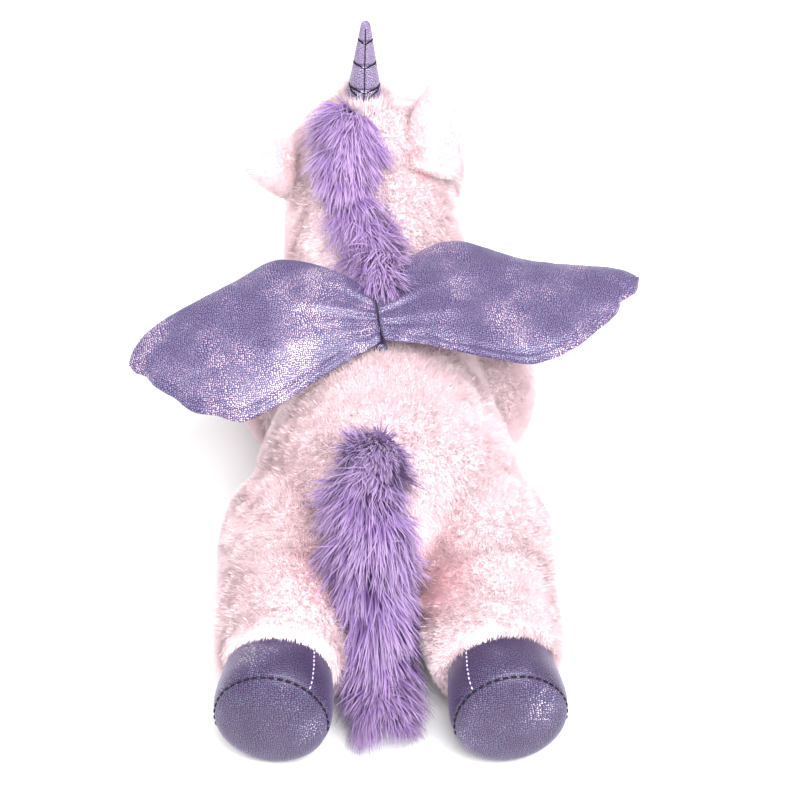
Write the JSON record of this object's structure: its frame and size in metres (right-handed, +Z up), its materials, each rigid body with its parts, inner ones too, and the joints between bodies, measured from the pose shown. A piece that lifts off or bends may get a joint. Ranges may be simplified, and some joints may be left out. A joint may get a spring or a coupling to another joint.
{
  "type": "winged unicorn soft toy",
  "caption": "Plush winged unicorn lying on its belly with splayed legs, a shaggy mane and tail, a thread-wound foil horn, foil hooves and padded foil wings that flap.",
  "frame": {"origin": "on the flat of the belly at floor level, on the animal's middle plane, about midway between nose and hind hooves", "axes": "+X to the toy's right-hand side seen from behind, +Y towards the nose, +Z up"},
  "size_m": [0.2411, 0.3755, 0.1917],
  "materials": {
    "pink_pile": "short soft plush pile, pale pink",
    "lilac_pile": "long shaggy plush pile, lilac",
    "foil_cloth": "knitted cloth with a fine printed foil dot, violet with a pearly sheen",
    "fibre_filling": "loose polyester fibre",
    "eye_plastic": "smooth glossy moulded plastic",
    "washer_plastic": "moulded plastic",
    "nose_thread": "satin embroidery thread",
    "black_thread": "twisted polyester thread",
    "seam_thread": "sewing thread and seam allowance"
  },
  "bodies": {
    "torso": {"torso_left_panel": "pink_pile", "torso_right_panel": "pink_pile", "belly_panel": "pink_pile", "torso_stuffing": "fibre_filling", "mane_nape": "lilac_pile", "wing_seam_tab": "seam_thread", "wing_seam_thread": "seam_thread"},
    "neck": {"neck_gusset": "pink_pile"},
    "head": {"head_left_panel": "pink_pile", "head_right_panel": "pink_pile", "head_gusset": "pink_pile", "head_stuffing": "fibre_filling", "eye_left": "eye_plastic", "eye_right": "eye_plastic", "eye_washer_left": "washer_plastic", "eye_washer_right": "washer_plastic", "nostril_stitching": "nose_thread", "mouth_stitching": "nose_thread", "horn_cover": "foil_cloth", "horn_stuffing": "fibre_filling", "horn_thread": "black_thread", "mane_crest": "lilac_pile"},
    "tail_root": {"tail_root": "lilac_pile"},
    "tail": {"tail_core": "lilac_pile"},
    "ear_left": {"ear_left_back": "pink_pile", "ear_left_lining": "foil_cloth"},
    "ear_right": {"ear_right_back": "pink_pile", "ear_right_lining": "foil_cloth"},
    "wing_left": {"wing_left_top": "foil_cloth", "wing_left_under": "foil_cloth", "wing_left_wadding": "fibre_filling"},
    "wing_right": {"wing_right_top": "foil_cloth", "wing_right_under": "foil_cloth", "wing_right_wadding": "fibre_filling"},
    "hindleg_left": {"hindleg_left_skin": "pink_pile", "hindleg_left_stuffing": "fibre_filling", "hindleg_left_hoof_upper": "foil_cloth", "hindleg_left_hoof_sole": "foil_cloth"},
    "hindleg_right": {"hindleg_right_skin": "pink_pile", "hindleg_right_stuffing": "fibre_filling", "hindleg_right_hoof_upper": "foil_cloth", "hindleg_right_hoof_sole": "foil_cloth"},
    "foreleg_left": {"foreleg_left_skin": "pink_pile", "foreleg_left_stuffing": "fibre_filling", "foreleg_left_hoof_upper": "foil_cloth", "foreleg_left_hoof_sole": "foil_cloth"},
    "foreleg_right": {"foreleg_right_skin": "pink_pile", "foreleg_right_stuffing": "fibre_filling", "foreleg_right_hoof_upper": "foil_cloth", "foreleg_right_hoof_sole": "foil_cloth"}
  },
  "joints": [
    {"name": "head_turn", "type": "hinge", "parent": "torso", "child": "neck", "pos_m": [-0.007, 0.112, 0.106], "axis": [-0.0655, 0.8606, 0.5051], "range_deg": [-25, 25], "stiffness_Nm_per_rad": 0.6},
    {"name": "head_nod", "type": "hinge", "parent": "neck", "child": "head", "pos_m": [-0.007, 0.112, 0.106], "axis": [0.9609, -0.2396, 0.1392], "range_deg": [-14, 14], "stiffness_Nm_per_rad": 0.8},
    {"name": "ear_left_fold", "type": "hinge", "parent": "head", "child": "ear_left", "pos_m": [-0.05579, 0.105, 0.11663], "axis": [-0.1942, -0.6307, -0.7513], "range_deg": [-30, 30], "stiffness_Nm_per_rad": 0.02},
    {"name": "ear_right_fold", "type": "hinge", "parent": "head", "child": "ear_right", "pos_m": [0.02221, 0.0886, 0.14053], "axis": [-0.9357, 0.2338, 0.2642], "range_deg": [-30, 12], "stiffness_Nm_per_rad": 0.02},
    {"name": "wing_left_flap", "type": "hinge", "parent": "torso", "child": "wing_left", "pos_m": [-0.00796, -0.01172, 0.10602], "axis": [-0.1564, 0.9023, 0.4017], "range_deg": [-4, 60], "stiffness_Nm_per_rad": 0.12},
    {"name": "wing_right_flap", "type": "hinge", "parent": "torso", "child": "wing_right", "pos_m": [-0.00104, -0.00998, 0.10655], "axis": [0.1564, -0.9727, -0.1715], "range_deg": [-4, 60], "stiffness_Nm_per_rad": 0.12},
    {"name": "tail_lift", "type": "hinge", "parent": "torso", "child": "tail_root", "pos_m": [-0.0015, -0.09525, 0.09521], "axis": [-1, 0, 0], "range_deg": [0, 80]},
    {"name": "tail_swing", "type": "hinge", "parent": "tail_root", "child": "tail", "pos_m": [-0.0015, -0.09525, 0.09521], "axis": [0, -0.4067, 0.9135], "range_deg": [-4, 4]},
    {"name": "hindleg_left_spread", "type": "hinge", "parent": "torso", "child": "hindleg_left", "pos_m": [-0.04, -0.098, 0.034], "axis": [0, 0, -1], "range_deg": [-2.5, 14], "stiffness_Nm_per_rad": 0.8},
    {"name": "hindleg_right_spread", "type": "hinge", "parent": "torso", "child": "hindleg_right", "pos_m": [0.04, -0.098, 0.034], "axis": [0, 0, 1], "range_deg": [-2.5, 14], "stiffness_Nm_per_rad": 0.8},
    {"name": "foreleg_left_spread", "type": "hinge", "parent": "torso", "child": "foreleg_left", "pos_m": [-0.044, 0.024, 0.033], "axis": [0, 0, 1], "range_deg": [-8, 8], "stiffness_Nm_per_rad": 0.8},
    {"name": "foreleg_right_spread", "type": "hinge", "parent": "torso", "child": "foreleg_right", "pos_m": [0.044, 0.024, 0.033], "axis": [0, 0, -1], "range_deg": [-8, 8], "stiffness_Nm_per_rad": 0.8}
  ]
}
